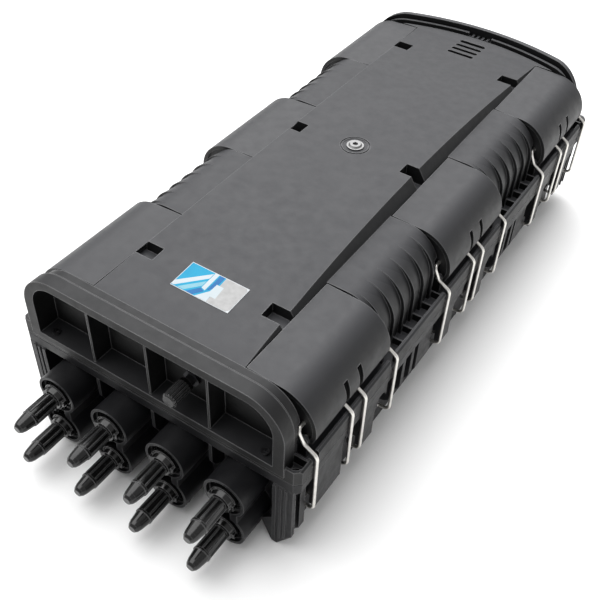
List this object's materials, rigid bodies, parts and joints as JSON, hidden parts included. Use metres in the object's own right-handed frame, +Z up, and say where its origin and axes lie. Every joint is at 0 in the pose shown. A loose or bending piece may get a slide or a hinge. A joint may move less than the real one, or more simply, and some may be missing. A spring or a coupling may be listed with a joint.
{
  "type": "fibre splice closure",
  "caption": "Flat fibre-optic splice closure: two ribbed plastic shells held by over-centre wire latches, with plugged cable ports, an air valve under a hood and stacked splice trays inside",
  "frame": {"origin": "the middle of the bounding box in X and Y, on the ground under the base", "axes": "+X across the shells, +Y along them away from the cable ports, +Z up through the lid"},
  "size_m": [0.2364, 0.5498, 0.1406],
  "materials": {
    "cover_plastic": "dark grey polypropylene with a fine spark-eroded grain",
    "base_plastic": "the same moulding compound, darker in its own shade",
    "gasket_rubber": "soft black rubber",
    "stainless_steel": "satin drawn stainless wire",
    "port_plastic": "glossy black",
    "seal_rubber": "brick red silicone",
    "valve_metal": "dark nickel",
    "label_film": "printed film, blue and silver",
    "tray_plastic": "off-white",
    "clear_plastic": "clear",
    "sheet_steel": "bright zinc",
    "strap_plastic": "black webbing"
  },
  "bodies": {
    "closure": {"base_shell": "base_plastic", "cover_shell": "cover_plastic", "gasket": "gasket_rubber", "hinge_pins": "stainless_steel", "plug_1u": "port_plastic", "plug_2u": "port_plastic", "plug_3u": "port_plastic", "plug_4u": "port_plastic", "plug_1l": "port_plastic", "plug_2l": "port_plastic", "plug_3l": "port_plastic", "plug_4l": "port_plastic", "plug_seals": "seal_rubber", "valve_body": "valve_metal", "lid_screw": "stainless_steel", "hood_screws": "stainless_steel", "label": "label_film", "tray_frame": "sheet_steel", "tray_1": "tray_plastic", "tray_2": "tray_plastic", "tray_3": "tray_plastic", "tray_4": "tray_plastic", "tray_lid": "clear_plastic", "tray_strap": "strap_plastic", "cable_bracket": "sheet_steel", "cable_ties": "strap_plastic", "bracket_screws": "stainless_steel"},
    "lever_r1_body": {"lever_r1": "cover_plastic"},
    "bail_r1a_body": {"bail_r1a": "stainless_steel"},
    "bail_r1b_body": {"bail_r1b": "stainless_steel"},
    "lever_r2_body": {"lever_r2": "cover_plastic"},
    "bail_r2a_body": {"bail_r2a": "stainless_steel"},
    "bail_r2b_body": {"bail_r2b": "stainless_steel"},
    "lever_r3_body": {"lever_r3": "cover_plastic"},
    "bail_r3a_body": {"bail_r3a": "stainless_steel"},
    "bail_r3b_body": {"bail_r3b": "stainless_steel"},
    "lever_l1_body": {"lever_l1": "cover_plastic"},
    "bail_l1a_body": {"bail_l1a": "stainless_steel"},
    "bail_l1b_body": {"bail_l1b": "stainless_steel"},
    "lever_l2_body": {"lever_l2": "cover_plastic"},
    "bail_l2a_body": {"bail_l2a": "stainless_steel"},
    "bail_l2b_body": {"bail_l2b": "stainless_steel"},
    "lever_l3_body": {"lever_l3": "cover_plastic"},
    "bail_l3a_body": {"bail_l3a": "stainless_steel"},
    "bail_l3b_body": {"bail_l3b": "stainless_steel"},
    "valve_cap_body": {"valve_cap": "port_plastic"}
  },
  "joints": [
    {"name": "latch_r1", "type": "hinge", "parent": "closure", "child": "lever_r1_body", "pos_m": [0.105, -0.1536, 0.0945], "axis": [0, 1, 0], "range_deg": [0, 75]},
    {"name": "bail_r1a_pivot", "type": "hinge", "parent": "lever_r1_body", "child": "bail_r1a_body", "pos_m": [0.1023, -0.18255, 0.1053], "axis": [0, 1, 0], "range_deg": [-66, 0]},
    {"name": "bail_r1b_pivot", "type": "hinge", "parent": "lever_r1_body", "child": "bail_r1b_body", "pos_m": [0.1023, -0.12465, 0.1053], "axis": [0, 1, 0], "range_deg": [-66, 0]},
    {"name": "latch_r2", "type": "hinge", "parent": "closure", "child": "lever_r2_body", "pos_m": [0.105, 0.02445, 0.0945], "axis": [0, 1, 0], "range_deg": [0, 75]},
    {"name": "bail_r2a_pivot", "type": "hinge", "parent": "lever_r2_body", "child": "bail_r2a_body", "pos_m": [0.1023, -0.0045, 0.1053], "axis": [0, 1, 0], "range_deg": [-66, 0]},
    {"name": "bail_r2b_pivot", "type": "hinge", "parent": "lever_r2_body", "child": "bail_r2b_body", "pos_m": [0.1023, 0.0534, 0.1053], "axis": [0, 1, 0], "range_deg": [-66, 0]},
    {"name": "latch_r3", "type": "hinge", "parent": "closure", "child": "lever_r3_body", "pos_m": [0.105, 0.2025, 0.0945], "axis": [0, 1, 0], "range_deg": [0, 75]},
    {"name": "bail_r3a_pivot", "type": "hinge", "parent": "lever_r3_body", "child": "bail_r3a_body", "pos_m": [0.1023, 0.17355, 0.1053], "axis": [0, 1, 0], "range_deg": [-66, 0]},
    {"name": "bail_r3b_pivot", "type": "hinge", "parent": "lever_r3_body", "child": "bail_r3b_body", "pos_m": [0.1023, 0.23145, 0.1053], "axis": [0, 1, 0], "range_deg": [-66, 0]},
    {"name": "latch_l1", "type": "hinge", "parent": "closure", "child": "lever_l1_body", "pos_m": [-0.105, -0.1536, 0.0945], "axis": [0, -1, 0], "range_deg": [0, 75]},
    {"name": "bail_l1a_pivot", "type": "hinge", "parent": "lever_l1_body", "child": "bail_l1a_body", "pos_m": [-0.1023, -0.18255, 0.1053], "axis": [0, -1, 0], "range_deg": [-66, 0]},
    {"name": "bail_l1b_pivot", "type": "hinge", "parent": "lever_l1_body", "child": "bail_l1b_body", "pos_m": [-0.1023, -0.12465, 0.1053], "axis": [0, -1, 0], "range_deg": [-66, 0]},
    {"name": "latch_l2", "type": "hinge", "parent": "closure", "child": "lever_l2_body", "pos_m": [-0.105, 0.02445, 0.0945], "axis": [0, -1, 0], "range_deg": [0, 75]},
    {"name": "bail_l2a_pivot", "type": "hinge", "parent": "lever_l2_body", "child": "bail_l2a_body", "pos_m": [-0.1023, -0.0045, 0.1053], "axis": [0, -1, 0], "range_deg": [-66, 0]},
    {"name": "bail_l2b_pivot", "type": "hinge", "parent": "lever_l2_body", "child": "bail_l2b_body", "pos_m": [-0.1023, 0.0534, 0.1053], "axis": [0, -1, 0], "range_deg": [-66, 0]},
    {"name": "latch_l3", "type": "hinge", "parent": "closure", "child": "lever_l3_body", "pos_m": [-0.105, 0.2025, 0.0945], "axis": [0, -1, 0], "range_deg": [0, 75]},
    {"name": "bail_l3a_pivot", "type": "hinge", "parent": "lever_l3_body", "child": "bail_l3a_body", "pos_m": [-0.1023, 0.17355, 0.1053], "axis": [0, -1, 0], "range_deg": [-66, 0]},
    {"name": "bail_l3b_pivot", "type": "hinge", "parent": "lever_l3_body", "child": "bail_l3b_body", "pos_m": [-0.1023, 0.23145, 0.1053], "axis": [0, -1, 0], "range_deg": [-66, 0]},
    {"name": "valve_cap_turn", "type": "hinge", "parent": "closure", "child": "valve_cap_body", "pos_m": [0.02397, -0.21855, 0.102], "axis": [0, -1, 0], "continuous": true}
  ],
  "couplings": [
    {"joint": "bail_r1a_pivot", "follows": "latch_r1", "ratio": -0.862},
    {"joint": "bail_r1b_pivot", "follows": "latch_r1", "ratio": -0.862},
    {"joint": "bail_r2a_pivot", "follows": "latch_r2", "ratio": -0.862},
    {"joint": "bail_r2b_pivot", "follows": "latch_r2", "ratio": -0.862},
    {"joint": "bail_r3a_pivot", "follows": "latch_r3", "ratio": -0.862},
    {"joint": "bail_r3b_pivot", "follows": "latch_r3", "ratio": -0.862},
    {"joint": "bail_l1a_pivot", "follows": "latch_l1", "ratio": -0.862},
    {"joint": "bail_l1b_pivot", "follows": "latch_l1", "ratio": -0.862},
    {"joint": "bail_l2a_pivot", "follows": "latch_l2", "ratio": -0.862},
    {"joint": "bail_l2b_pivot", "follows": "latch_l2", "ratio": -0.862},
    {"joint": "bail_l3a_pivot", "follows": "latch_l3", "ratio": -0.862},
    {"joint": "bail_l3b_pivot", "follows": "latch_l3", "ratio": -0.862}
  ]
}
